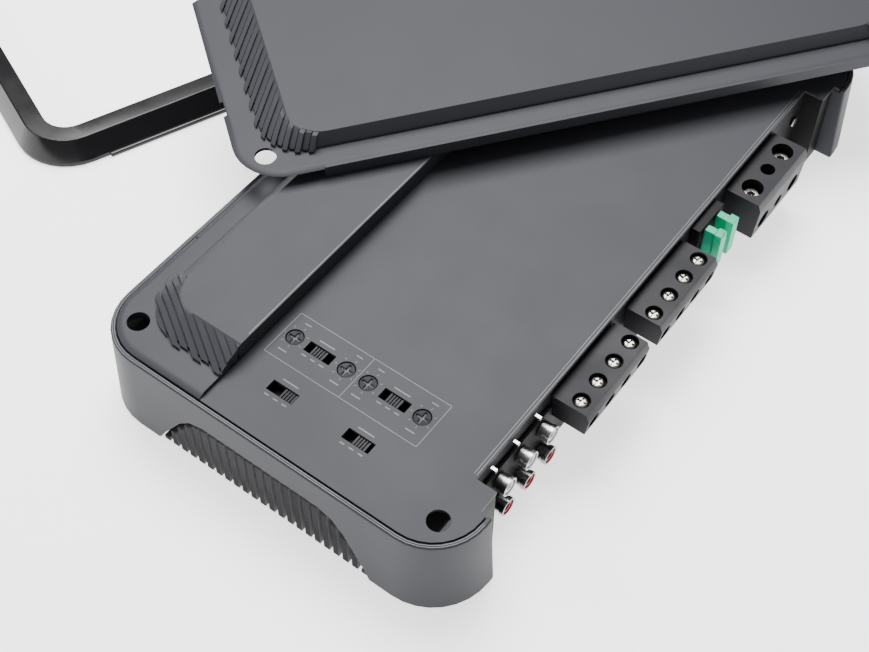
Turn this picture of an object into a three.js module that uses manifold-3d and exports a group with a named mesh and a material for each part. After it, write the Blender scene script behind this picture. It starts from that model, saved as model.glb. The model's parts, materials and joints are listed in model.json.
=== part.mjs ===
import * as THREE from "three";
import { mergeVertices } from "three/addons/utils/BufferGeometryUtils.js";
import Module from "manifold-3d";

// Car amplifier: finned chassis, flat control plate, fixed rear deck, lifted cover and trim ring.
// Millimetres, +Z up. The origin is the centre of the footprint, and the connector side faces -Y.

const GAP = 0.3;
const OVERCUT = 2;
const ROUND_SIDES = 24;
const CORNER_STEPS = 8;

const BODY_LENGTH = 320;
const BODY_WIDTH = 173;
const BODY_CORNER = 23.5;
const BODY_FLARE = 2.5;
const PLATE_TOP = 41;
const PLATE_THICK = 1.5;
const RIM_HEIGHT = 40.7;
const RIM_WIDTH = 2.3;
const SEAM_Y = 29.5;

const ARCH_CURVE = [
  [52.5, 0],
  [49.5, 5.5],
  [40, 19.5],
  [34.5, 24.5],
  [28, 26.5],
];

const FIN_COUNT = 23;
const FRONT_SIDE_FINS = 3;
const REAR_SIDE_FINS = 5;
const FIN_PITCH = 4.5;
const FIN_THICK = 2.7;
const FIN_HEIGHT = 26.9;
const SINK_TOP = 29.5;
const FIN_HALF_LENGTH = 161.2;

const POST_X = 133.25;
const STEP_X = 123.4;
const STEP_Y = -81.4;
const RECESS_Y = -72.3;
const CHEEK_THICK = 2.4;
const PANEL_THICK = 1.6;
const PANEL_FOOT = 0.5;

const CORNER_HOLE_INSET = 14.74;
const CORNER_HOLE_RADIUS = 4.55;

const BAND_RISE = 1.8;
const BAND_BEVEL = 2.8;
const DECK_RISE = 8.1;
const DECK_WALL = 1.8;
const SLOPE_FOOT = { x: 16.5, front: 13.2, rear: 12.9, corner: 19 };
const SLOPE_TOP = { x: 27.6, front: 16, rear: 18.7, corner: 14 };
const SLOPE_KERB = 1.2;
const RIB_PITCH = 5.25;
const RIB_SLANT = 18;
const RIB_WIDTH = 4;
const RIB_PROUD = [2.4, 1];
const RIB_OUTER_RUN = 3;
const RIB_INNER_RUN = 12;
const NOTCH_LENGTH = 8.5;
const NOTCH_DEPTH = 1.6;
const DECK_NOTCH_X = -108;
const COVER_NOTCH_Y = -44;

const COVER_LIP_DROP = 4.2;
const COVER_LIP_THICK = 2;
const COVER_TURN_DEG = -37.5;
const COVER_HOLE_X = -58.4;
const COVER_HOLE_Y = 80.7;

const RING_TURN_DEG = -23;
const RING_CORNER_X = -95.1;
const RING_CORNER_Y = 188.2;
const RING_BAND = 14;
const RING_HEIGHT = 12;
const RING_RIDGE = 9;
const RING_FOOT_HEIGHT = 2.5;
const RING_FLANGE = 1.5;
const RING_FLANGE_SETBACK = 34;

const POT_X = -113.9;
const POT_Y = [20, -5.2, -15.6, -41];
const POT_HOLE_RADIUS = 3.75;
const POT_SHAFT_RADIUS = 3.4;
const POT_BODY_RADIUS = 5.2;
const POT_BODY_HEIGHT = 5.4;
const POT_WELL_DEPTH = 4.2;
const POT_SHAFT_SINK = 0.4;
const CROSS_SLOT_WIDTH = 1;
const CROSS_SLOT_DEPTH = 0.9;

const SWITCH_SLOT_LENGTH = 12.4;
const SWITCH_SLOT_WIDTH = 5;
const SWITCHES = [
  { x: -136.2, y: 7.3, shift: -2.9 },
  { x: -114.1, y: 7.6, shift: 0.4 },
  { x: -114.1, y: -28.4, shift: 0.2 },
  { x: -136.1, y: -28.6, shift: -1.4 },
];
const KNOB_LENGTH = 6;
const KNOB_SINK = 0.5;
const KNOB_RIBS = 5;
const SWITCH_BODY_HEIGHT = 5;
const SWITCH_BODY_WALL = 1;
const SWITCH_WELL_DEPTH = 3.6;

const BLOCK_TOP = 36.3;
const BLOCK_FRONT = -89.3;
const BLOCK_CHAMFER = { run: 1.4, drop: 3.3 };
const BLOCK_UNDERCUT = 1.1;
const SPEAKER_BLOCK_BASE = 24;
const POWER_BLOCK_BASE = 15.8;
const TERMINAL_PITCH = 11.37;
const TERMINALS_PER_BLOCK = 4;
const SPEAKER_BLOCKS = [
  { name: "speaker_block_a", x0: -74.5, x1: -31.3, first: -69.5 },
  { name: "speaker_block_b", x0: -22.1, x1: 21.1, first: -17.7 },
];
const TERMINAL_SCREW_Y = -82.5;
const WIRE_HOLE_RADIUS = 3.3;
const WIRE_HOLE_Z = 28.6;
const WIRE_HOLE_DEPTH = 12;
const SCREW_WELL_RADIUS = 3.6;
const SCREW_WELL_DEPTH = 3;
const SCREW_HEAD_RADIUS = 2.9;
const SCREW_HEAD_HEIGHT = 2;
const SCREW_DOME_START = 0.4;
const SCREW_DOME_SHARE = 0.6;
const SCREW_DOME_STEPS = 3;
const SCREW_SIDES = 24;
const SCREW_SHANK_RADIUS = 1.3;
const SCREW_SHANK_HOLE = 1.7;

const POWER_BLOCK = { x0: 56, x1: 97 };
const POWER_TERMINALS = [
  { x: 63.6, well: 4.7, wire: 4.2, screw: 3.4 },
  { x: 76.5, well: 3.2, wire: 3, screw: 2.4 },
  { x: 89.4, well: 4.7, wire: 4.2, screw: 3.4 },
];
const POWER_SCREW_Y = -80.7;
const POWER_WIRE_Z = 21.8;
const POWER_WIRE_DEPTH = 13.5;
const POWER_WELL_DEPTH = 7;
const POWER_SCREW_HEIGHT = 6;
const HEX_RADIUS_SHARE = 0.55;

const FUSE_X = [31.6, 41.1];
const FUSE_OUTER = -85.3;
const FUSE_INNER = -77.1;
const FUSE_THICK = 5;
const FUSE_GRIP_DEPTH = 3.6;
const FUSE_STEM_INSET = 0.7;
const FUSE_SPAN = 19.1;
const FUSE_TOP = 38.9;
const BLADE_REACH = 3.9;
const BLADE_THICK = 0.8;
const BLADE_WIDTH = 5.2;
const BLADE_OFFSET = 5.2;
const FUSE_HOLDER = { x0: 27, x1: 46.5, front: -76.5, z0: 18.3, z1: 38.6 };

const RCA_X = [-110.6, -96.4, -82.3];
const RCA_Z = [24.7, 10.1];
const RCA_COLLAR_RADIUS = 4.15;
const RCA_COLLAR_LENGTH = 1.8;
const RCA_BARREL_RADIUS = 3.8;
const RCA_BORE = 3.3;
const RCA_INSERT_SINK = 0.5;
const RCA_FRONT = -79.2;
const RCA_BLOCK = { x0: -118.2, x1: -75.3, front: -73.7, z0: 4, z1: 31.5 };
const RCA_SOCKET_RADIUS = 1.6;

const BOARD = { x0: -112, x1: 146, y0: -62, y1: 74, z: 30.2, thick: 1.6 };
const TRANSFORMER = { x: 40, y: 0, radius: 17, bore: 7, height: 6.6 };
const CAPACITORS = [{ x: 80, y: -30 }, { x: 80, y: 20 }];
const CAPACITOR_RADIUS = 3.3;
const CAPACITOR_LENGTH = 26;
const CHIP_ROW = { x0: -40, x1: 120, y0: 60, y1: 66, height: 5 };
const PANEL_SCREW = { x: 117.7, z: 26.4, radius: 2.4, height: 1.2 };

const wasm = await Module();
wasm.setup();

function toSolid(geometry) {
  const bare = geometry.clone();
  bare.deleteAttribute("normal");
  bare.deleteAttribute("uv");
  const merged = mergeVertices(bare, 1e-4);
  const vertProperties = new Float32Array(merged.attributes.position.array);
  const triVerts = new Uint32Array(merged.index.array);
  return new wasm.Manifold(new wasm.Mesh({ numProp: 3, vertProperties, triVerts }));
}

function toGeometry(solid) {
  const mesh = solid.getMesh();
  const geometry = new THREE.BufferGeometry();
  geometry.setAttribute("position", new THREE.BufferAttribute(new Float32Array(mesh.vertProperties), 3));
  geometry.setIndex(new THREE.BufferAttribute(new Uint32Array(mesh.triVerts), 1));
  geometry.computeVertexNormals();
  return geometry;
}

function joinAll(solids) {
  return solids.reduce((sum, solid) => sum.add(solid));
}

function cutAll(solid, cutters) {
  return cutters.reduce((rest, cutter) => rest.subtract(cutter), solid);
}

function range(count) {
  return Array.from({ length: count }, (_, index) => index);
}

// Ruled solid between two convex outlines with the same number of points.
function loft(lower, lowZ, upper, highZ) {
  const count = lower.length;
  const positions = [];
  lower.forEach((point) => positions.push(point[0], point[1], lowZ));
  upper.forEach((point) => positions.push(point[0], point[1], highZ));
  const faces = [];
  for (let i = 0; i < count; i += 1) {
    const next = (i + 1) % count;
    faces.push(i, next, count + next, i, count + next, count + i);
    if (i > 0 && i < count - 1) {
      faces.push(0, i + 1, i, count, count + i, count + i + 1);
    }
  }
  const geometry = new THREE.BufferGeometry();
  geometry.setAttribute("position", new THREE.Float32BufferAttribute(positions, 3));
  geometry.setIndex(faces);
  return toSolid(geometry);
}

function roundedOutline(halfX, halfY, radius) {
  const corners = [
    [halfX - radius, halfY - radius, 0],
    [-halfX + radius, halfY - radius, 90],
    [-halfX + radius, -halfY + radius, 180],
    [halfX - radius, -halfY + radius, 270],
  ];
  return corners.flatMap(([x, y, start]) =>
    range(CORNER_STEPS + 1).map((step) => {
      const angle = THREE.MathUtils.degToRad(start + (90 * step) / CORNER_STEPS);
      return [x + radius * Math.cos(angle), y + radius * Math.sin(angle)];
    })
  );
}

function bodyOutline(inset) {
  return roundedOutline(BODY_LENGTH / 2 - inset, BODY_WIDTH / 2 - inset, BODY_CORNER - inset);
}

function slopeOutline(inset, shrink) {
  const halfX = BODY_LENGTH / 2 - inset.x - shrink;
  const halfY = (BODY_WIDTH - inset.front - inset.rear) / 2 - shrink;
  const shiftY = (inset.front - inset.rear) / 2;
  return roundedOutline(halfX, halfY, inset.corner - shrink).map(([x, y]) => [x, y + shiftY]);
}

function block(x0, x1, y0, y1, z0, z1) {
  const geometry = new THREE.BoxGeometry(x1 - x0, y1 - y0, z1 - z0);
  geometry.translate((x0 + x1) / 2, (y0 + y1) / 2, (z0 + z1) / 2);
  return toSolid(geometry);
}

function uprightRod(x, y, radius, z0, z1, sides = ROUND_SIDES) {
  const geometry = new THREE.CylinderGeometry(radius, radius, z1 - z0, sides);
  geometry.rotateX(Math.PI / 2);
  geometry.translate(x, y, (z0 + z1) / 2);
  return toSolid(geometry);
}

function rodAlongY(x, z, radius, y0, y1, sides = ROUND_SIDES) {
  const geometry = new THREE.CylinderGeometry(radius, radius, y1 - y0, sides);
  geometry.translate(x, (y0 + y1) / 2, z);
  return toSolid(geometry);
}

// Solid whose cross-section is drawn in the YZ plane and runs from x0 to x1.
function extrudeAlongX(profile, x0, x1) {
  const shape = new THREE.Shape(profile.map(([y, z]) => new THREE.Vector2(y, z)));
  const geometry = new THREE.ExtrudeGeometry(shape, { depth: x1 - x0, bevelEnabled: false });
  geometry.rotateY(Math.PI / 2);
  geometry.rotateX(Math.PI / 2);
  geometry.translate(x0, 0, 0);
  return toSolid(geometry);
}

function extrudeAlongZ(profile, z0, z1) {
  const shape = new THREE.Shape(profile.map(([x, y]) => new THREE.Vector2(x, y)));
  const geometry = new THREE.ExtrudeGeometry(shape, { depth: z1 - z0, bevelEnabled: false });
  geometry.translate(0, 0, z0);
  return toSolid(geometry);
}

function cornerHoles(signsY, z0, z1) {
  return [-1, 1].flatMap((signX) =>
    signsY.map((signY) => {
      const x = signX * (BODY_LENGTH / 2 - CORNER_HOLE_INSET);
      const y = signY * (BODY_WIDTH / 2 - CORNER_HOLE_INSET);
      return uprightRod(x, y, CORNER_HOLE_RADIUS, z0, z1);
    })
  );
}

function chassisShell() {
  const outside = loft(bodyOutline(-BODY_FLARE), 0, bodyOutline(0), RIM_HEIGHT);
  const inside = loft(bodyOutline(RIM_WIDTH), -OVERCUT, bodyOutline(RIM_WIDTH), RIM_HEIGHT + OVERCUT);
  const frontY = -BODY_WIDTH / 2;
  const farX = BODY_LENGTH / 2 + BODY_FLARE + OVERCUT;
  const cheeks = [-1, 1].map((side) => {
    const edges = [side * POST_X, side * (POST_X + CHEEK_THICK)].sort((a, b) => a - b);
    const top = PLATE_TOP - PLATE_THICK - GAP;
    return block(edges[0], edges[1], frontY + 1, RECESS_Y + GAP + PANEL_THICK, 0, top);
  });
  const window = block(
    -POST_X,
    POST_X,
    frontY - BODY_FLARE - OVERCUT,
    frontY + RIM_WIDTH + 1,
    -OVERCUT,
    RIM_HEIGHT + OVERCUT
  );
  const rightSide = [[ARCH_CURVE[0][0], -OVERCUT], ...ARCH_CURVE];
  const leftSide = rightSide.map(([y, z]) => [-y, z]).reverse();
  const arch = extrudeAlongX([...rightSide, ...leftSide], -farX, farX);
  return cutAll(joinAll([outside.subtract(inside), ...cheeks]), [window, arch]);
}

// Height the central fins may reach at distance y from the middle, kept clear of the arch's slanted ends.
function finHeightAt(y) {
  const edge = Math.abs(y) + FIN_THICK / 2 + GAP;
  const above = ARCH_CURVE.findIndex(([archY]) => archY < edge);
  if (above < 1) {
    return above < 0 ? ARCH_CURVE.at(-1)[1] - GAP : 0;
  }
  const [y0, z0] = ARCH_CURVE[above - 1];
  const [y1, z1] = ARCH_CURVE[above];
  return z0 + ((y0 - edge) / (y0 - y1)) * (z1 - z0) - GAP;
}

function heatSink() {
  const inner = bodyOutline(RIM_WIDTH + GAP);
  const slab = loft(inner, FIN_HEIGHT, inner, SINK_TOP);
  const floor = block(
    -BODY_LENGTH,
    BODY_LENGTH,
    RECESS_Y + GAP + PANEL_THICK + GAP,
    BODY_WIDTH,
    -OVERCUT,
    SINK_TOP + OVERCUT
  );
  const half = (FIN_COUNT - 1) / 2;
  const insideX = BODY_LENGTH / 2 - RIM_WIDTH - 1;
  const fins = range(FIN_COUNT).map((index) => {
    const y = (index - half) * FIN_PITCH;
    return block(-insideX, insideX, y - FIN_THICK / 2, y + FIN_THICK / 2, 0, FIN_HEIGHT + 1);
  });
  const finEnds = range(FIN_COUNT).map((index) => {
    const y = (index - half) * FIN_PITCH;
    const x = FIN_HALF_LENGTH;
    return block(-x, x, y - FIN_THICK / 2, y + FIN_THICK / 2, 0, finHeightAt(y));
  });
  const sideFins = [-1, 1].flatMap((side) =>
    range(side < 0 ? FRONT_SIDE_FINS : REAR_SIDE_FINS).map((index) => {
      const y = side * (half + 1 + index) * FIN_PITCH;
      const x = insideX - BODY_CORNER / 2;
      return block(-x, x, y - FIN_THICK / 2, y + FIN_THICK / 2, 0, FIN_HEIGHT + 1);
    })
  );
  return joinAll([slab.intersect(floor), ...fins, ...finEnds, ...sideFins]);
}

function controlPlate() {
  const outline = bodyOutline(RIM_WIDTH + GAP);
  const low = PLATE_TOP - PLATE_THICK;
  const sheet = loft(outline, low, outline, PLATE_TOP);
  const z0 = low - OVERCUT;
  const z1 = PLATE_TOP + OVERCUT;
  const cuts = [
    block(-STEP_X, STEP_X, -BODY_WIDTH, RECESS_Y, z0, z1),
    block(-POST_X, POST_X, -BODY_WIDTH, STEP_Y, z0, z1),
    ...cornerHoles([-1, 1], z0, z1),
    ...POT_Y.map((y) => uprightRod(POT_X, y, POT_HOLE_RADIUS, z0, z1)),
    ...SWITCHES.map(({ x, y }) => slotBlock(x, y, 0, z0, z1)),
  ];
  return cutAll(sheet, cuts);
}

function slotBlock(x, y, margin, z0, z1) {
  const halfX = SWITCH_SLOT_WIDTH / 2 + margin;
  const halfY = SWITCH_SLOT_LENGTH / 2 + margin;
  return block(x - halfX, x + halfX, y - halfY, y + halfY, z0, z1);
}

// Slanted bars on the sloping short ends of the raised deck.
function slopeRibs(side, fromY, toY) {
  const footX = BODY_LENGTH / 2 - SLOPE_FOOT.x;
  const topX = BODY_LENGTH / 2 - SLOPE_TOP.x;
  const lean = RIB_SLANT / (footX - topX);
  const outerX = footX + RIB_OUTER_RUN;
  const innerX = topX - RIB_INNER_RUN;
  const count = Math.floor((toY - fromY) / RIB_PITCH);
  return range(count).map((index) => {
    const outerY = fromY + index * RIB_PITCH - RIB_OUTER_RUN * lean;
    const innerY = outerY + (outerX - innerX) * lean;
    const outline = [
      [side * outerX, outerY],
      [side * outerX, outerY + RIB_WIDTH],
      [side * innerX, innerY + RIB_WIDTH],
      [side * innerX, innerY],
    ];
    return side > 0 ? outline : outline.slice().reverse();
  });
}

// Tall and low ribs take turns along the slope.
function ribSolids(side, fromY, toY) {
  const envelopes = RIB_PROUD.map(ribEnvelope);
  return slopeRibs(side, fromY, toY).map((outline, index) =>
    loft(outline, PLATE_TOP + BAND_RISE - 0.5, outline, PLATE_TOP + DECK_RISE).intersect(
      envelopes[index % envelopes.length]
    )
  );
}

// The upper deck as one full tray; the fixed deck and the cover are its two parts.
function deckBlank() {
  const low = PLATE_TOP + GAP;
  const band = PLATE_TOP + BAND_RISE;
  const top = PLATE_TOP + DECK_RISE;
  const margin = RIM_WIDTH + GAP;
  const edge = loft(bodyOutline(margin), low, bodyOutline(margin + BAND_BEVEL), band);
  const kerb = slopeOutline(SLOPE_FOOT, 0);
  const wall = loft(kerb, band - 0.5, kerb, band + SLOPE_KERB);
  const raised = loft(kerb, band + SLOPE_KERB, slopeOutline(SLOPE_TOP, 0), top).add(wall);
  const hollow = loft(
    slopeOutline(SLOPE_FOOT, DECK_WALL),
    low - 0.5,
    slopeOutline(SLOPE_TOP, DECK_WALL),
    top - DECK_WALL
  );
  return edge.add(raised).subtract(hollow);
}

function ribEnvelope(proud) {
  const band = PLATE_TOP + BAND_RISE;
  const top = PLATE_TOP + DECK_RISE;
  const kerb = slopeOutline(SLOPE_FOOT, -proud);
  const wall = loft(kerb, band - 0.5, kerb, band + SLOPE_KERB);
  return loft(kerb, band + SLOPE_KERB, slopeOutline(SLOPE_TOP, -proud), top - 0.2).add(wall);
}

function seamWall(y0, y1) {
  const footX = BODY_LENGTH / 2 - SLOPE_TOP.x;
  return block(-footX, footX, y0, y1, PLATE_TOP + GAP, PLATE_TOP + DECK_RISE - DECK_WALL / 2);
}

function fixedDeck() {
  const keep = block(-BODY_LENGTH, BODY_LENGTH, SEAM_Y + GAP, BODY_WIDTH, 0, PLATE_TOP * 2);
  const deckEnd = BODY_WIDTH / 2 - SLOPE_TOP.rear;
  const ribs = [-1, 1].flatMap((side) => ribSolids(side, SEAM_Y - RIB_SLANT, deckEnd));
  const raised = joinAll([deckBlank(), seamWall(SEAM_Y, SEAM_Y + DECK_WALL * 2), ...ribs]);
  const rearY = BODY_WIDTH / 2 - RIM_WIDTH - GAP;
  const notch = block(
    DECK_NOTCH_X,
    DECK_NOTCH_X + NOTCH_LENGTH,
    rearY - NOTCH_DEPTH,
    rearY + 1,
    PLATE_TOP,
    PLATE_TOP + DECK_RISE
  );
  return cutAll(raised.intersect(keep), [...cornerHoles([1], PLATE_TOP - 1, PLATE_TOP + DECK_RISE), notch]);
}

function coverPanel() {
  const keep = block(-BODY_LENGTH, BODY_LENGTH, -BODY_WIDTH, SEAM_Y - GAP, 0, PLATE_TOP * 2);
  const ribStart = -BODY_WIDTH / 2 - RIB_SLANT;
  const ribs = [-1, 1].flatMap((side) => ribSolids(side, ribStart, SEAM_Y));
  const frontY = -BODY_WIDTH / 2 + RIM_WIDTH + GAP;
  const lip = block(
    -STEP_X + GAP,
    STEP_X - GAP,
    frontY,
    frontY + COVER_LIP_THICK,
    PLATE_TOP - COVER_LIP_DROP,
    PLATE_TOP + BAND_RISE - 0.6
  );
  const whole = joinAll([deckBlank(), lip, ...ribs]);
  const sideX = BODY_LENGTH / 2 - RIM_WIDTH - GAP;
  const notches = [-1, 1].map((side) => {
    const edges = [side * (sideX - NOTCH_DEPTH), side * (sideX + 1)].sort((a, b) => a - b);
    const farY = COVER_NOTCH_Y + NOTCH_LENGTH;
    return block(edges[0], edges[1], COVER_NOTCH_Y, farY, PLATE_TOP, PLATE_TOP + DECK_RISE);
  });
  const trimmed = cutAll(whole.intersect(keep), [
    ...cornerHoles([-1], PLATE_TOP - 1, PLATE_TOP + DECK_RISE),
    ...notches,
  ]);
  return placeCover(trimmed);
}

// The cover lies turned on the fixed deck, placed by its near corner hole.
function placeCover(solid) {
  const holeX = -BODY_LENGTH / 2 + CORNER_HOLE_INSET;
  const holeY = -BODY_WIDTH / 2 + CORNER_HOLE_INSET;
  const lift = DECK_RISE + GAP + COVER_LIP_DROP;
  return solid
    .translate([-holeX, -holeY, 0])
    .rotate([0, 0, COVER_TURN_DEG])
    .translate([COVER_HOLE_X, COVER_HOLE_Y, lift]);
}

function ringOutline(inset) {
  const halfX = BODY_WIDTH / 2 + BODY_FLARE - inset;
  const halfY = BODY_LENGTH / 2 + BODY_FLARE - inset;
  return roundedOutline(halfX, halfY, BODY_CORNER + BODY_FLARE - inset);
}

function trimRing() {
  const foot = loft(ringOutline(0), 0, ringOutline(0), RING_FOOT_HEIGHT);
  const slope = loft(
    ringOutline(0),
    RING_FOOT_HEIGHT,
    ringOutline(RING_BAND - RING_RIDGE),
    RING_HEIGHT
  );
  const opening = loft(ringOutline(RING_BAND), -OVERCUT, ringOutline(RING_BAND), RING_HEIGHT * 2);
  const halfX = BODY_WIDTH / 2 + BODY_FLARE;
  const halfY = BODY_LENGTH / 2 + BODY_FLARE;
  const flanges = [
    block(-halfX + RING_FLANGE_SETBACK, halfX - RING_FLANGE_SETBACK, -halfY - RING_FLANGE, -halfY + 1, 0, 2),
    block(-halfX + RING_FLANGE_SETBACK, halfX - RING_FLANGE_SETBACK, halfY - 1, halfY + RING_FLANGE, 0, 2),
  ];
  const ring = joinAll([foot, slope, ...flanges]).subtract(opening);
  return ring
    .translate([halfX, halfY, 0])
    .rotate([0, 0, RING_TURN_DEG])
    .translate([RING_CORNER_X, RING_CORNER_Y, 0]);
}

function panelProfile() {
  const front = RECESS_Y + GAP;
  const step = STEP_Y + GAP;
  const outerX = POST_X - GAP;
  const innerX = STEP_X;
  return [
    [-outerX, step],
    [-innerX, step],
    [-innerX, front],
    [innerX, front],
    [innerX, step],
    [outerX, step],
    [outerX, step + PANEL_THICK],
    [innerX + PANEL_THICK, step + PANEL_THICK],
    [innerX + PANEL_THICK, front + PANEL_THICK],
    [-innerX - PANEL_THICK, front + PANEL_THICK],
    [-innerX - PANEL_THICK, step + PANEL_THICK],
    [-outerX, step + PANEL_THICK],
  ];
}

function connectorPanel() {
  return extrudeAlongZ(panelProfile(), PANEL_FOOT, PLATE_TOP - PLATE_THICK - GAP);
}

function potShaft(y) {
  const top = PLATE_TOP - POT_SHAFT_SINK;
  const foot = PLATE_TOP - PLATE_THICK - GAP - POT_WELL_DEPTH + GAP;
  const shaft = uprightRod(POT_X, y, POT_SHAFT_RADIUS, foot, top);
  return shaft.subtract(crossSlot(POT_X, y, POT_SHAFT_RADIUS * 0.8, top));
}

function crossSlot(x, y, reach, top) {
  const half = CROSS_SLOT_WIDTH / 2;
  const z0 = top - CROSS_SLOT_DEPTH;
  const z1 = top + OVERCUT;
  const along = block(x - reach, x + reach, y - half, y + half, z0, z1);
  const across = block(x - half, x + half, y - reach, y + reach, z0, z1);
  return along.add(across);
}

function potHousing(y) {
  const top = PLATE_TOP - PLATE_THICK - GAP;
  const body = uprightRod(POT_X, y, POT_BODY_RADIUS - GAP, top - POT_BODY_HEIGHT, top);
  return body.subtract(uprightRod(POT_X, y, POT_HOLE_RADIUS, top - POT_WELL_DEPTH, top + OVERCUT));
}

function switchKnob({ x, y, shift }) {
  const top = PLATE_TOP - KNOB_SINK;
  const foot = PLATE_TOP - PLATE_THICK - GAP - SWITCH_WELL_DEPTH + GAP;
  const halfX = SWITCH_SLOT_WIDTH / 2 - GAP;
  const centreY = y + shift;
  const knob = block(x - halfX, x + halfX, centreY - KNOB_LENGTH / 2, centreY + KNOB_LENGTH / 2, foot, top);
  const pitch = KNOB_LENGTH / KNOB_RIBS;
  const grooves = range(KNOB_RIBS - 1).map((index) => {
    const grooveY = centreY - KNOB_LENGTH / 2 + pitch * (index + 1);
    return block(x - halfX - 1, x + halfX + 1, grooveY - 0.2, grooveY + 0.2, top - 0.5, top + 1);
  });
  return cutAll(knob, grooves);
}

function switchHousing({ x, y }) {
  const top = PLATE_TOP - PLATE_THICK - GAP;
  const body = slotBlock(x, y, SWITCH_BODY_WALL, top - SWITCH_BODY_HEIGHT, top);
  return body.subtract(slotBlock(x, y, 0, top - SWITCH_WELL_DEPTH, top + OVERCUT));
}

function blockProfile(baseZ) {
  const back = RECESS_Y;
  const chamferY = BLOCK_FRONT + BLOCK_CHAMFER.run;
  return [
    [back, baseZ],
    [back, BLOCK_TOP],
    [chamferY, BLOCK_TOP],
    [BLOCK_FRONT, BLOCK_TOP - BLOCK_CHAMFER.drop],
    [BLOCK_FRONT + BLOCK_UNDERCUT, baseZ],
  ];
}

function speakerBlock({ x0, x1, first }) {
  const body = extrudeAlongX(blockProfile(SPEAKER_BLOCK_BASE), x0, x1);
  const cuts = range(TERMINALS_PER_BLOCK).flatMap((index) => {
    const x = first + index * TERMINAL_PITCH;
    const wellFloor = BLOCK_TOP - SCREW_WELL_DEPTH;
    return [
      uprightRod(x, TERMINAL_SCREW_Y, SCREW_WELL_RADIUS, wellFloor, BLOCK_TOP + OVERCUT),
      uprightRod(x, TERMINAL_SCREW_Y, SCREW_SHANK_HOLE, WIRE_HOLE_Z, wellFloor + 1, 12),
      rodAlongY(x, WIRE_HOLE_Z, WIRE_HOLE_RADIUS, BLOCK_FRONT - OVERCUT, BLOCK_FRONT + WIRE_HOLE_DEPTH),
    ];
  });
  return cutAll(body, cuts);
}

function circleOutline(x, y, radius, sides) {
  return range(sides).map((index) => {
    const angle = (index * 2 * Math.PI) / sides;
    return [x + radius * Math.cos(angle), y + radius * Math.sin(angle)];
  });
}

// A low dome made of short cone steps on a straight foot.
function domedHead(x, y, radius, z0, z1) {
  const foot = z0 + (z1 - z0) * SCREW_DOME_START;
  const step = (Math.PI / 2 / SCREW_DOME_STEPS) * SCREW_DOME_SHARE;
  const steps = range(SCREW_DOME_STEPS).map((index) => {
    const heightAt = (turn) => foot + ((z1 - foot) * Math.sin(turn)) / Math.sin(step * SCREW_DOME_STEPS);
    const low = circleOutline(x, y, radius * Math.cos(step * index), SCREW_SIDES);
    const high = circleOutline(x, y, radius * Math.cos(step * (index + 1)), SCREW_SIDES);
    return loft(low, heightAt(step * index), high, heightAt(step * (index + 1)));
  });
  const straight = circleOutline(x, y, radius, SCREW_SIDES);
  return joinAll([loft(straight, z0, straight, foot), ...steps]);
}

function speakerScrew(x) {
  const headFoot = BLOCK_TOP - SCREW_WELL_DEPTH + GAP;
  const headTop = headFoot + SCREW_HEAD_HEIGHT;
  const head = domedHead(x, TERMINAL_SCREW_Y, SCREW_HEAD_RADIUS, headFoot, headTop);
  const shankFoot = WIRE_HOLE_Z + WIRE_HOLE_RADIUS + 0.1;
  const shank = uprightRod(x, TERMINAL_SCREW_Y, SCREW_SHANK_RADIUS, shankFoot, headFoot + 0.5, 12);
  return head.add(shank).subtract(crossSlot(x, TERMINAL_SCREW_Y, SCREW_HEAD_RADIUS * 0.66, headTop));
}

function powerBlock() {
  const body = extrudeAlongX(blockProfile(POWER_BLOCK_BASE), POWER_BLOCK.x0, POWER_BLOCK.x1);
  const cuts = POWER_TERMINALS.flatMap(({ x, well, wire, screw }) => [
    uprightRod(x, POWER_SCREW_Y, well, BLOCK_TOP - POWER_WELL_DEPTH, BLOCK_TOP + OVERCUT),
    uprightRod(x, POWER_SCREW_Y, screw + GAP, POWER_WIRE_Z, BLOCK_TOP - POWER_WELL_DEPTH + 1, 16),
    rodAlongY(x, POWER_WIRE_Z, wire, BLOCK_FRONT - OVERCUT, BLOCK_FRONT + POWER_WIRE_DEPTH),
  ]);
  return cutAll(body, cuts);
}

function powerScrew({ x, wire, screw }) {
  const foot = POWER_WIRE_Z + wire + 0.1;
  const top = foot + POWER_SCREW_HEIGHT;
  const body = uprightRod(x, POWER_SCREW_Y, screw, foot, top, 16);
  return body.subtract(uprightRod(x, POWER_SCREW_Y, screw * HEX_RADIUS_SHARE, top - 2, top + 1, 6));
}

function bladeSlots(x, margin, y0, y1) {
  const middle = FUSE_TOP - FUSE_SPAN / 2;
  return [-1, 1].map((side) => {
    const z = middle + side * BLADE_OFFSET;
    const halfX = BLADE_THICK / 2 + margin;
    const halfZ = BLADE_WIDTH / 2 + margin;
    return block(x - halfX, x + halfX, y0, y1, z - halfZ, z + halfZ);
  });
}

function fuse(x) {
  const z0 = FUSE_TOP - FUSE_SPAN;
  const halfGrip = FUSE_THICK / 2;
  const halfStem = halfGrip - FUSE_STEM_INSET;
  const gripEnd = FUSE_OUTER + FUSE_GRIP_DEPTH;
  const grip = block(x - halfGrip, x + halfGrip, FUSE_OUTER, gripEnd, z0, FUSE_TOP);
  const stem = block(
    x - halfStem,
    x + halfStem,
    gripEnd - 1,
    FUSE_INNER,
    z0 + FUSE_STEM_INSET,
    FUSE_TOP - FUSE_STEM_INSET
  );
  return joinAll([grip, stem, ...bladeSlots(x, 0, FUSE_INNER - 1, FUSE_INNER + BLADE_REACH)]);
}

function fuseHolder() {
  const { x0, x1, front, z0, z1 } = FUSE_HOLDER;
  const body = block(x0, x1, front, RECESS_Y, z0, z1);
  const slots = FUSE_X.flatMap((x) => bladeSlots(x, GAP, front - 1, FUSE_INNER + BLADE_REACH + GAP));
  return cutAll(body, slots);
}

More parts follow.
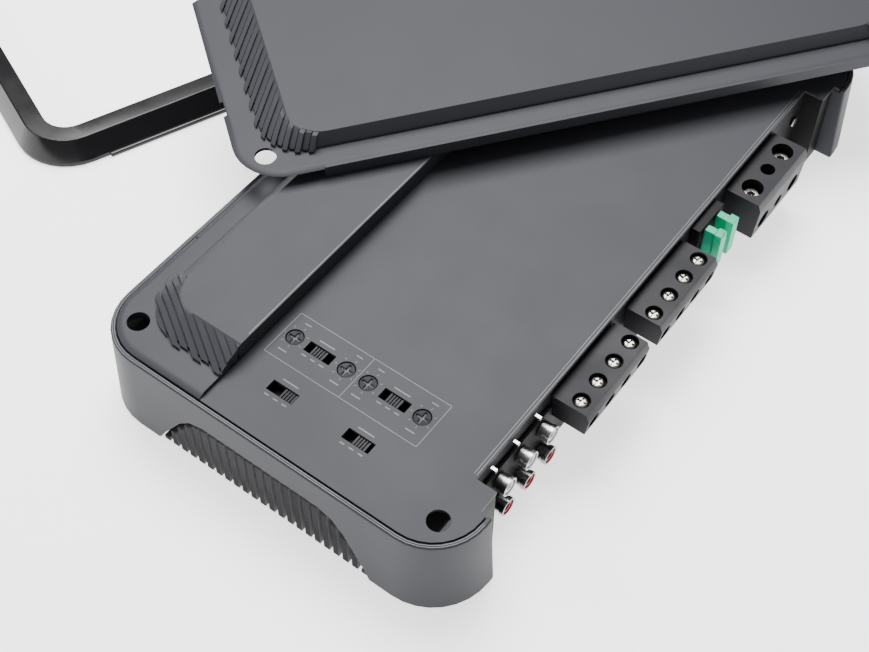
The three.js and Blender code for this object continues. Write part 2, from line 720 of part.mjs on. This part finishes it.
function rcaBlock() {
  const { x0, x1, front, z0, z1 } = RCA_BLOCK;
  return block(x0, x1, front, RECESS_Y, z0, z1);
}

function rcaFerrule(x, z) {
  const back = RCA_BLOCK.front - GAP;
  const collar = rodAlongY(x, z, RCA_COLLAR_RADIUS, RCA_FRONT, RCA_FRONT + RCA_COLLAR_LENGTH);
  const barrel = rodAlongY(x, z, RCA_BARREL_RADIUS, RCA_FRONT + RCA_COLLAR_LENGTH / 2, back);
  return collar.add(barrel).subtract(rodAlongY(x, z, RCA_BORE, RCA_FRONT - 1, back + 1));
}

function rcaInsert(x, z) {
  const back = RCA_BLOCK.front - GAP;
  const front = RCA_FRONT + RCA_INSERT_SINK;
  const plug = rodAlongY(x, z, RCA_BORE - GAP, front, back);
  return plug.subtract(rodAlongY(x, z, RCA_SOCKET_RADIUS, front - 1, back - 1, 16));
}

function panelScrew() {
  const { x, z, radius, height } = PANEL_SCREW;
  return rodAlongY(x, z, radius, RECESS_Y - height, RECESS_Y);
}

function circuitBoard() {
  const { x0, x1, y0, y1, z, thick } = BOARD;
  const board = block(x0, x1, y0, y1, z, z + thick);
  const row = CHIP_ROW;
  const chips = block(row.x0, row.x1, row.y0, row.y1, z + thick - 0.5, z + row.height);
  return board.add(chips);
}

function powerTransformer() {
  const { x, y, radius, bore, height } = TRANSFORMER;
  const z0 = BOARD.z + BOARD.thick + GAP;
  return uprightRod(x, y, radius, z0, z0 + height).subtract(uprightRod(x, y, bore, z0 - 1, z0 + height + 1));
}

function capacitor({ x, y }) {
  const z = BOARD.z + BOARD.thick + GAP + CAPACITOR_RADIUS;
  return rodAlongY(x, z, CAPACITOR_RADIUS, y - CAPACITOR_LENGTH / 2, y + CAPACITOR_LENGTH / 2);
}

function material(color, metalness, roughness, opacity = 1) {
  return new THREE.MeshStandardMaterial({
    color,
    metalness,
    roughness,
    opacity,
    transparent: opacity < 1,
  });
}

const satinGrey = material(0x686a70, 0.3, 0.5);
const terminalGrey = material(0x5c5e6c, 0.1, 0.5);
const glossBlack = material(0x101012, 0.1, 0.1);
const plainBlack = material(0x161618, 0, 0.6);
const finBlack = material(0x1c1c1e, 0.6, 0.5);
const steel = material(0xc4c2bc, 1, 0.25);
const chrome = material(0xe0e0e0, 1, 0.1);
const knobGrey = material(0xa0a0a4, 0, 0.5);
const fuseGreen = material(0x18b070, 0, 0.2, 0.6);
const whitePlastic = material(0xf0f0ee, 0, 0.4);
const redPlastic = material(0xc81e24, 0, 0.4);
const boardGreen = material(0x1d5a34, 0, 0.5);
const ferriteGrey = material(0x3a3a3c, 0, 0.7);

const amplifier = new THREE.Group();
amplifier.name = "car_amplifier";

function addPiece(name, solid, finish) {
  const mesh = new THREE.Mesh(toGeometry(solid), finish);
  mesh.name = name;
  amplifier.add(mesh);
}

addPiece("chassis_shell", chassisShell(), satinGrey);
addPiece("heat_sink", heatSink(), finBlack);
addPiece("control_plate", controlPlate(), satinGrey);
addPiece("fixed_deck", fixedDeck(), satinGrey);
addPiece("connector_panel", connectorPanel(), plainBlack);
addPiece("cover_panel", coverPanel(), satinGrey);
addPiece("trim_ring", trimRing(), glossBlack);
POT_Y.forEach((y, index) => {
  addPiece(`pot_shaft_${index + 1}`, potShaft(y), plainBlack);
  addPiece(`pot_housing_${index + 1}`, potHousing(y), plainBlack);
});
SWITCHES.forEach((place, index) => {
  addPiece(`switch_knob_${index + 1}`, switchKnob(place), knobGrey);
  addPiece(`switch_housing_${index + 1}`, switchHousing(place), plainBlack);
});
SPEAKER_BLOCKS.forEach((place, blockIndex) => {
  addPiece(place.name, speakerBlock(place), terminalGrey);
  range(TERMINALS_PER_BLOCK).forEach((index) => {
    const number = blockIndex * TERMINALS_PER_BLOCK + index + 1;
    addPiece(`speaker_screw_${number}`, speakerScrew(place.first + index * TERMINAL_PITCH), steel);
  });
});
addPiece("power_block", powerBlock(), terminalGrey);
POWER_TERMINALS.forEach((place, index) => addPiece(`power_screw_${index + 1}`, powerScrew(place), steel));
FUSE_X.forEach((x, index) => addPiece(`fuse_${index + 1}`, fuse(x), fuseGreen));
addPiece("fuse_holder", fuseHolder(), plainBlack);
addPiece("rca_block", rcaBlock(), plainBlack);
RCA_X.forEach((x, column) => {
  addPiece(`rca_ferrule_white_${column + 1}`, rcaFerrule(x, RCA_Z[0]), chrome);
  addPiece(`rca_insert_white_${column + 1}`, rcaInsert(x, RCA_Z[0]), whitePlastic);
  addPiece(`rca_ferrule_red_${column + 1}`, rcaFerrule(x, RCA_Z[1]), chrome);
  addPiece(`rca_insert_red_${column + 1}`, rcaInsert(x, RCA_Z[1]), redPlastic);
});
addPiece("panel_screw", panelScrew(), steel);
addPiece("circuit_board", circuitBoard(), boardGreen);
addPiece("power_transformer", powerTransformer(), ferriteGrey);
CAPACITORS.forEach((place, index) => addPiece(`capacitor_${index + 1}`, capacitor(place), plainBlack));

export default amplifier;
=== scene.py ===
import json
import math

import bpy
from mathutils import Matrix, Vector


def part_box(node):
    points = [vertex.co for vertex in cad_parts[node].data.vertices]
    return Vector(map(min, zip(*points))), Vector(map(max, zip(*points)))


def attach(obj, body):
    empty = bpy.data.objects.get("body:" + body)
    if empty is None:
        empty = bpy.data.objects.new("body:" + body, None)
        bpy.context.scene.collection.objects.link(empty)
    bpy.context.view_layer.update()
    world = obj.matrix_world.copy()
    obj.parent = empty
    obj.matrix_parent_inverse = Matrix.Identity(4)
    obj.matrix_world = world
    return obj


MM = 0.001

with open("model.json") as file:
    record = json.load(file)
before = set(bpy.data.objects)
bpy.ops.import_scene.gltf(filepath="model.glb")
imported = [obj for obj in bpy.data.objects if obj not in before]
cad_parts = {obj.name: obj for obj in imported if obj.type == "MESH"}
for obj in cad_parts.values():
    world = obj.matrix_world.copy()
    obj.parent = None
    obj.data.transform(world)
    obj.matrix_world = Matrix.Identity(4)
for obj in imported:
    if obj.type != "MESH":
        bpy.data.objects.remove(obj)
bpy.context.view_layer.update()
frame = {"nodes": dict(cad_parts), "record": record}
nodes = frame["nodes"]

# ---------------------------------------------------------------- materials


def new_material(name):
    mat = bpy.data.materials.new(name)
    mat.use_nodes = True
    tree = mat.node_tree
    shader = tree.nodes["Principled BSDF"]
    return mat, tree, shader


def noise_node(tree, scale, detail, stretch=(1, 1, 1)):
    place = tree.nodes.new("ShaderNodeTexCoord")
    mapping = tree.nodes.new("ShaderNodeMapping")
    mapping.inputs["Scale"].default_value = stretch
    noise = tree.nodes.new("ShaderNodeTexNoise")
    noise.inputs["Scale"].default_value = scale
    noise.inputs["Detail"].default_value = detail
    tree.links.new(place.outputs["Object"], mapping.inputs["Vector"])
    tree.links.new(mapping.outputs["Vector"], noise.inputs["Vector"])
    return noise


def ramp_between(tree, source, low, high, start=0.35, end=0.65):
    ramp = tree.nodes.new("ShaderNodeValToRGB")
    ramp.color_ramp.elements[0].position = start
    ramp.color_ramp.elements[1].position = end
    ramp.color_ramp.elements[0].color = low
    ramp.color_ramp.elements[1].color = high
    tree.links.new(source.outputs["Fac"], ramp.inputs["Fac"])
    return ramp


def grained(name, colour, roughness, metallic=0.0, tone=0.08, rough_swing=0.06, grain=1400,
            depth=0.00002, bump=0.25, stretch=(1, 1, 1), speck=40, gloss=0.5):
    """Paint or plastic with a fine grain, small tone changes and a slightly uneven sheen."""
    mat, tree, shader = new_material(name)
    soft = noise_node(tree, speck, 4)
    low = [channel * (1 - tone) for channel in colour] + [1]
    high = [channel * (1 + tone) for channel in colour] + [1]
    tint = ramp_between(tree, soft, low, high)
    tree.links.new(tint.outputs["Color"], shader.inputs["Base Color"])
    smooth = [roughness - rough_swing] * 3 + [1]
    rough = [roughness + rough_swing] * 3 + [1]
    sheen = ramp_between(tree, soft, smooth, rough)
    tree.links.new(sheen.outputs["Color"], shader.inputs["Roughness"])
    shader.inputs["Metallic"].default_value = metallic
    shader.inputs["Specular IOR Level"].default_value = gloss
    fine = noise_node(tree, grain, 2, stretch)
    bump_node = tree.nodes.new("ShaderNodeBump")
    bump_node.inputs["Strength"].default_value = bump
    bump_node.inputs["Distance"].default_value = depth
    tree.links.new(fine.outputs["Fac"], bump_node.inputs["Height"])
    tree.links.new(bump_node.outputs["Normal"], shader.inputs["Normal"])
    return mat


def translucent_green():
    mat = grained("fuse_green", (0.004, 0.56, 0.3), 0.3, tone=0.12, rough_swing=0.05,
                  grain=500, depth=0.00003, bump=0.1, speck=120, gloss=0.25)
    shader = mat.node_tree.nodes["Principled BSDF"]
    shader.inputs["Transmission Weight"].default_value = 0.3
    shader.inputs["IOR"].default_value = 1.46
    return mat


def fin_metal():
    """Black fins whose sides are painted a paler grey as painted light, standing in for the lit fin
    sides seen in the gaps; the ends keep the fins' black.
    """
    mat = grained("fin_black_painted_lit_sides", (0.02, 0.02, 0.022), 0.45, tone=0.12, grain=700,
                  stretch=(0.04, 1, 1), bump=0.3, gloss=0.04)
    tree = mat.node_tree
    shader = tree.nodes["Principled BSDF"]
    facing = tree.nodes.new("ShaderNodeNewGeometry")
    split = tree.nodes.new("ShaderNodeSeparateXYZ")
    size = tree.nodes.new("ShaderNodeMath")
    size.operation = "ABSOLUTE"
    # painted light: faces that do not face along X get a paler grey for the lit fin sides, and the
    # ends stay near-black
    ramp = tree.nodes.new("ShaderNodeValToRGB")
    ramp.color_ramp.elements[0].position = 0.15
    ramp.color_ramp.elements[1].position = 0.25
    ramp.color_ramp.elements[0].color = (0.14, 0.14, 0.15, 1)
    ramp.color_ramp.elements[1].color = (0.006, 0.006, 0.007, 1)
    tree.links.new(facing.outputs["True Normal"], split.inputs["Vector"])
    tree.links.new(split.outputs["X"], size.inputs[0])
    tree.links.new(size.outputs["Value"], ramp.inputs["Fac"])
    tree.links.new(ramp.outputs["Color"], shader.inputs["Base Color"])
    return mat


SLOT_START_MM = 0.15


def knob_with_painted_slot_highlight():
    """Dark knob whose screwdriver slot is painted paler below the top face, a painted highlight
    standing in for light catching the slot.
    """
    mat = grained("knob_with_painted_slot_highlight", (0.02, 0.02, 0.023), 0.5, tone=0.08, gloss=0.15)
    tree = mat.node_tree
    shader = tree.nodes["Principled BSDF"]
    geometry = tree.nodes.new("ShaderNodeNewGeometry")
    split = tree.nodes.new("ShaderNodeSeparateXYZ")
    below = tree.nodes.new("ShaderNodeMath")
    below.operation = "LESS_THAN"
    below.inputs[1].default_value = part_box("pot_shaft_1")[1].z - SLOT_START_MM * MM
    # painted highlight: the paler grey below the top face stands in for light caught in the slot
    ramp = tree.nodes.new("ShaderNodeValToRGB")
    ramp.color_ramp.elements[0].color = (0.012, 0.012, 0.014, 1)
    ramp.color_ramp.elements[1].color = (0.13, 0.13, 0.14, 1)
    tree.links.new(geometry.outputs["Position"], split.inputs["Vector"])
    tree.links.new(split.outputs["Z"], below.inputs[0])
    tree.links.new(below.outputs["Value"], ramp.inputs["Fac"])
    tree.links.new(ramp.outputs["Color"], shader.inputs["Base Color"])
    return mat


satin = grained("satin_grey", (0.034, 0.0348, 0.0415), 0.5, tone=0.03, rough_swing=0.02, gloss=0.22)
terminal_grey = grained("terminal_grey", (0.0085, 0.0085, 0.012), 0.45, tone=0.07, grain=900,
                        gloss=0.2)
gloss_black = grained("gloss_black", (0.008, 0.008, 0.009), 0.14, tone=0.1, rough_swing=0.03,
                      bump=0.03, gloss=0.3)
matte_black = grained("matte_black", (0.006, 0.006, 0.007), 0.5, tone=0.15, grain=1100, gloss=0.12)
# near-black used only for the painted shade strip on the rim
painted_groove_shade = grained("painted_groove_shade", (0.004, 0.004, 0.005), 0.7, tone=0.2)
fin_black_painted_lit_sides = fin_metal()
bright_steel = grained("bright_steel", (0.34, 0.325, 0.3), 0.27, metallic=1.0, tone=0.06, grain=900,
                       rough_swing=0.07, bump=0.2)
dark_chrome = grained("dark_chrome", (0.4, 0.4, 0.41), 0.27, metallic=1.0, tone=0.1,
                      rough_swing=0.05, bump=0.1)
knob_grey = grained("knob_grey", (0.02, 0.02, 0.023), 0.45, tone=0.08, gloss=0.15)
white_gloss = grained("white_gloss", (0.86, 0.86, 0.84), 0.28, tone=0.03, bump=0.05)
red_gloss = grained("red_gloss", (0.42, 0.01, 0.02), 0.35, tone=0.06, bump=0.05)
board_green = grained("board_green", (0.015, 0.1, 0.04), 0.35, tone=0.15)
pot_black = knob_with_painted_slot_highlight()
core_grey = grained("core_grey", (0.06, 0.06, 0.062), 0.6, tone=0.2)
can_black = grained("can_black", (0.03, 0.03, 0.035), 0.35, tone=0.1)
fuse_green = translucent_green()
print_grey = grained("print_grey", (0.11, 0.115, 0.125), 0.5, tone=0.12)
# painted highlight: a paler grey for thin strips that stand in for light catching the rim, deck and
# plate edges
painted_edge_highlight = grained("painted_edge_highlight", (0.1, 0.103, 0.115), 0.4, tone=0.1)

FINISHES = {
    "satin_paint": satin,
    "terminal_plastic": terminal_grey,
    "gloss_trim": gloss_black,
    "black_plastic": matte_black,
    "fin_metal": fin_black_painted_lit_sides,
    "screw_steel": bright_steel,
    "jack_chrome": dark_chrome,
    "knob_plastic": knob_grey,
    "fuse_plastic": fuse_green,
    "white_plastic": white_gloss,
    "red_plastic": red_gloss,
    "board": board_green,
    "ferrite": core_grey,
    "can": can_black,
}

# ---------------------------------------------------------------- CAD nodes

BEVEL_MM = {
    "chassis_shell": 0.9,
    "control_plate": 0.4,
    "fixed_deck": 0.5,
    "cover_panel": 0.5,
    "trim_ring": 0.5,
    "speaker_block_a": 0.3,
    "speaker_block_b": 0.3,
    "power_block": 0.3,
    "fuse_1": 0.45,
    "fuse_2": 0.45,
}
SMALL_BEVEL_MM = 0.15
SCREW_BEVEL_MM = 0.45
WELD_MM = 0.01
FLAT_DEG = 0.6
SHARP_DEG = 32


def edge_width(node):
    if node.startswith("speaker_screw") or node == "panel_screw":
        return SCREW_BEVEL_MM
    return BEVEL_MM.get(node, SMALL_BEVEL_MM)


def soften(obj, width):
    weld = obj.modifiers.new("weld", "WELD")
    weld.merge_threshold = WELD_MM * MM
    flat = obj.modifiers.new("flat", "DECIMATE")
    flat.decimate_type = "DISSOLVE"
    flat.angle_limit = math.radians(FLAT_DEG)
    bevel = obj.modifiers.new("bevel", "BEVEL")
    bevel.width = width * MM
    bevel.segments = 2
    bevel.limit_method = "ANGLE"
    bevel.angle_limit = math.radians(SHARP_DEG)
    obj.modifiers.new("normals", "WEIGHTED_NORMAL")
    for face in obj.data.polygons:
        face.use_smooth = True


slot_of = {part["node"]: part["material_slot"] for part in frame["record"]["subparts"]}
for name, obj in nodes.items():
    obj.data.materials.clear()
    finish = pot_black if name.startswith("pot_shaft") else FINISHES[slot_of[name]]
    obj.data.materials.append(finish)
    if name != "heat_sink":
        soften(obj, edge_width(name))

# ---------------------------------------------------------------- added pieces


def add_mesh(name, verts, faces, mat, body):
    mesh = bpy.data.meshes.new(name)
    mesh.from_pydata(verts, [], faces)
    mesh.materials.append(mat)
    mesh.update()
    obj = bpy.data.objects.new(name, mesh)
    bpy.context.scene.collection.objects.link(obj)
    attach(obj, body)
    return obj


def bar(x, y, length, width, angle, z, thick):
    """Thin flat bar centred on x, y, in millimetres, as verts and faces."""
    c, s = math.cos(math.radians(angle)), math.sin(math.radians(angle))
    half_length, half_width = length / 2, width / 2
    corners = [(-half_length, -half_width), (half_length, -half_width),
               (half_length, half_width), (-half_length, half_width)]
    flat = [(x + a * c - b * s, y + a * s + b * c) for a, b in corners]
    verts = [(px * MM, py * MM, (z + h) * MM) for h in (0, thick) for px, py in flat]
    faces = [(0, 3, 2, 1), (4, 5, 6, 7), (0, 1, 5, 4), (1, 2, 6, 5), (2, 3, 7, 6), (3, 0, 4, 7)]
    return verts, faces


def merge(parts):
    verts, faces = [], []
    for part_verts, part_faces in parts:
        base = len(verts)
        verts += part_verts
        faces += [tuple(base + i for i in face) for face in part_faces]
    return verts, faces


plate_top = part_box("control_plate")[1].z / MM
PRINT_THICK = 0.03
PRINT_LIFT = 0.01


def mark(x, y, length, width=0.35, angle=0):
    return bar(x, y, length, width, angle, plate_top + PRINT_LIFT, PRINT_THICK)


def centre_mm(node):
    low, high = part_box(node)
    return (low + high) / 2 / MM


def outline_marks(x0, x1, y0, y1, width):
    return [
        mark((x0 + x1) / 2, y0, x1 - x0, width),
        mark((x0 + x1) / 2, y1, x1 - x0, width),
        mark(x0, (y0 + y1) / 2, y1 - y0, width, 90),
        mark(x1, (y0 + y1) / 2, y1 - y0, width, 90),
    ]


CONTROL_FRAME = {"x0": -125.6, "x1": -103.6, "y0": -47, "y1": 25.4}
FRAME_LINE = 0.3
DIVIDER_Y = -10.8
DIAL_RADIUS = 5
DIAL_START_DEG = -60
DIAL_STEP_DEG = 50
DIAL_TICKS = 7
TICK_LENGTH = 0.9
DASH_WIDTH = 0.55
SWITCH_TICK_SHIFTS = (-4.2, 0, 4.2)


def dial_marks(pot):
    """Ticks round one level control, with a dash on each side of it."""
    parts = []
    for step in range(DIAL_TICKS):
        degrees = DIAL_START_DEG + DIAL_STEP_DEG * step
        angle = math.radians(degrees)
        x = pot.x + DIAL_RADIUS * math.cos(angle)
        y = pot.y + DIAL_RADIUS * math.sin(angle)
        parts.append(mark(x, y, TICK_LENGTH, FRAME_LINE, math.degrees(angle)))
    parts.append(mark(pot.x - 7.6, pot.y, 4.2, DASH_WIDTH, 90))
    parts.append(mark(pot.x + 7.4, pot.y - 0.6, 3, 0.5, 90))
    return parts


def switch_marks(switch):
    """Three dashes below one slide switch and a longer one above it."""
    parts = [
        mark(switch.x - 4.4, switch.y + shift, 2.2, DASH_WIDTH, 90)
        for shift in SWITCH_TICK_SHIFTS
    ]
    parts.append(mark(switch.x + 4.6, switch.y, 7.5, DASH_WIDTH, 90))
    return parts


def print_marks():
    x0, x1 = CONTROL_FRAME["x0"], CONTROL_FRAME["x1"]
    parts = outline_marks(x0, x1, CONTROL_FRAME["y0"], CONTROL_FRAME["y1"], FRAME_LINE)
    parts.append(mark((x0 + x1) / 2, DIVIDER_Y, x1 - x0, FRAME_LINE))
    for index in range(1, 5):
        parts += dial_marks(centre_mm(f"pot_shaft_{index}"))
    for index in range(1, 5):
        parts += switch_marks(centre_mm(f"switch_housing_{index}"))
    return merge(parts)


FLARE = 2.5
CORNER_RADIUS = 23.5
CORNER_STEPS = 8
CORNER_SIGNS = ((1, 1), (-1, 1), (-1, -1), (1, -1))
FRONT_Y = -80


def rounded_loop(offset):
    """Rounded rectangle that runs inside the body's outline, as x, y pairs in metres."""
    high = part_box("chassis_shell")[1]
    centre_x = high.x / MM - FLARE - CORNER_RADIUS
    centre_y = high.y / MM - FLARE - CORNER_RADIUS
    radius = CORNER_RADIUS - offset
    loop = []
    for corner, (sign_x, sign_y) in enumerate(CORNER_SIGNS):
        for step in range(CORNER_STEPS + 1):
            angle = math.radians(90 * corner + 90 * step / CORNER_STEPS)
            x = sign_x * centre_x + radius * math.cos(angle)
            y = sign_y * centre_y + radius * math.sin(angle)
            loop.append((x * MM, y * MM))
    return loop


def crosses_front(start, end):
    """True for the long side of a loop on the connector side, where the rim is cut away."""
    in_front = start[1] < FRONT_Y * MM and end[1] < FRONT_Y * MM
    return in_front and abs(start[0] + end[0]) < 100 * MM


def ring_strip(inset, width, z, thick):
    """Flat rounded frame that follows the body's outline, as verts and faces."""
    outer = rounded_loop(inset)
    inner = rounded_loop(inset + width)
    count = len(outer)
    verts = [(x, y, (z + h) * MM) for h in (0, thick) for loop in (outer, inner) for x, y in loop]
    faces = []
    for i in range(count):
        j = (i + 1) % count
        if crosses_front(outer[i], outer[j]):
            continue
        a, b, c, d = i, j, count + j, count + i
        top = 2 * count
        faces += [(a, d, c, b), (top + a, top + b, top + c, top + d),
                  (a, b, top + b, top + a), (d, top + d, top + c, c)]
    return verts, faces


GROOVE_INSET = 0.95
GROOVE_WIDTH = 0.45
GLINT_INSETS = (0.68, 1.45)
GLINT_WIDTH = 0.22
SKIN_THICK = 0.03
SKIN_SINK = 0.01
DECK_GLINT_WIDTH = 0.3
DECK_GLINT_INSET = 0.75
DECK_GLINT_ENDS = 30
PLATE_EDGE_Y = -72.3
PLATE_EDGE_LENGTH = 244
PLATE_GLINT_INSETS = (0.7, 1.9)
PLATE_GLINT_WIDTH = 0.25

rim_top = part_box("chassis_shell")[1].z / MM
# painted shade: a thin near-black strip on the rim top stands in for the shade in the rim groove
verts, faces = ring_strip(GROOVE_INSET, GROOVE_WIDTH, rim_top - 0.02, 0.04)
add_mesh("rim_groove_painted_shade", verts, faces, painted_groove_shade, "amplifier_body")
# painted highlight: two thin pale rings on the rim top stand in for light catching the rim edges
glints = [ring_strip(inset, GLINT_WIDTH, rim_top - SKIN_SINK, SKIN_THICK) for inset in GLINT_INSETS]
verts, faces = merge(glints)
add_mesh("rim_glint", verts, faces, painted_edge_highlight, "amplifier_body")

# painted highlight: a thin pale bar along the deck's top edge stands in for light catching that
# edge
deck_low, deck_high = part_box("fixed_deck")
deck_length = (deck_high.x - deck_low.x) / MM - DECK_GLINT_ENDS * 2
deck_edge_y = deck_low.y / MM + DECK_GLINT_INSET
deck_skin = deck_high.z / MM - SKIN_SINK
verts, faces = bar(0, deck_edge_y, deck_length, DECK_GLINT_WIDTH, 0, deck_skin, SKIN_THICK)
add_mesh("deck_glint", verts, faces, painted_edge_highlight, "amplifier_body")

# painted highlight: two thin pale lines along the plate's front edge stand in for light on its
# rolled edge
verts, faces = merge([
    mark(0, PLATE_EDGE_Y + inset, PLATE_EDGE_LENGTH, PLATE_GLINT_WIDTH)
    for inset in PLATE_GLINT_INSETS
])
add_mesh("plate_glint", verts, faces, painted_edge_highlight, "amplifier_body")

TAB_SHIFT = -5
TAB_Y = -74.7
TAB_FOOT = 38.6
TAB_LENGTH = 1.2
TAB_WIDTH = 2.4
TAB_HEIGHT = 1.4
for index in range(1, 4):
    jack = centre_mm(f"rca_ferrule_white_{index}")
    verts, faces = bar(jack.x + TAB_SHIFT, TAB_Y, TAB_LENGTH, TAB_WIDTH, 0, TAB_FOOT, TAB_HEIGHT)
    add_mesh(f"jack_tab_{index}", verts, faces, dark_chrome, "amplifier_body")

verts, faces = print_marks()
add_mesh("print_marks", verts, faces, print_grey, "amplifier_body")

# ---------------------------------------------------------------- stage

FLOOR_REACH = 6

floor_mat = grained("floor", (0.9, 0.9, 0.9), 0.6, tone=0.01, rough_swing=0.02, bump=0.02,
                    gloss=0.1)
floor_shader = floor_mat.node_tree.nodes["Principled BSDF"]
floor_shader.inputs["Emission Color"].default_value = (1, 1, 1, 1)
floor_shader.inputs["Emission Strength"].default_value = 1.7
floor_verts = [
    (-FLOOR_REACH, -FLOOR_REACH, 0),
    (FLOOR_REACH, -FLOOR_REACH, 0),
    (FLOOR_REACH, FLOOR_REACH, 0),
    (-FLOOR_REACH, FLOOR_REACH, 0),
]
floor_mesh = bpy.data.meshes.new("floor")
floor_mesh.from_pydata(floor_verts, [], [(0, 1, 2, 3)])
floor_mesh.materials.append(floor_mat)
floor = bpy.data.objects.new("floor", floor_mesh)
bpy.context.scene.collection.objects.link(floor)

world = bpy.data.worlds.new("studio")
world.use_nodes = True
world.node_tree.nodes["Background"].inputs["Color"].default_value = (1, 1, 1, 1)
world.node_tree.nodes["Background"].inputs["Strength"].default_value = 0.35
bpy.context.scene.world = world


def area_light(name, place, target, size, power):
    data = bpy.data.lights.new(name, "AREA")
    data.shape = "SQUARE"
    data.size = size
    data.energy = power
    lamp = bpy.data.objects.new(name, data)
    lamp.location = place
    lamp.rotation_euler = (Vector(target) - Vector(place)).to_track_quat("-Z", "Y").to_euler()
    bpy.context.scene.collection.objects.link(lamp)


area_light("overhead", (0.52, 0.49, 1.45), (0, 0.02, 0), 1.12, 63)
area_light("back", (-0.9, 1.3, 0.9), (0, 0, 0), 0.8, 10)

YAW = math.radians(35.742)
PITCH = math.radians(53.281)
ROLL = math.radians(0.973)
CAMERA_PLACE = (-0.3569, -0.2243, 0.5041)
level = math.cos(PITCH)
forward = Vector((math.cos(YAW) * level, math.sin(YAW) * level, -math.sin(PITCH)))
level_right = Vector((math.sin(YAW), -math.cos(YAW), 0))
level_up = level_right.cross(forward)
right = level_right * math.cos(ROLL) + level_up * math.sin(ROLL)
up = level_up * math.cos(ROLL) - level_right * math.sin(ROLL)
camera_data = bpy.data.cameras.new("camera")
camera_data.sensor_width = 36
camera_data.lens = 62.18
camera_data.shift_x = -0.00907
camera_data.shift_y = 0.00228
camera = bpy.data.objects.new("camera", camera_data)
turn = Matrix((right, up, -forward)).transposed().to_4x4()
camera.matrix_world = Matrix.Translation(CAMERA_PLACE) @ turn
bpy.context.scene.collection.objects.link(camera)
bpy.context.scene.camera = camera
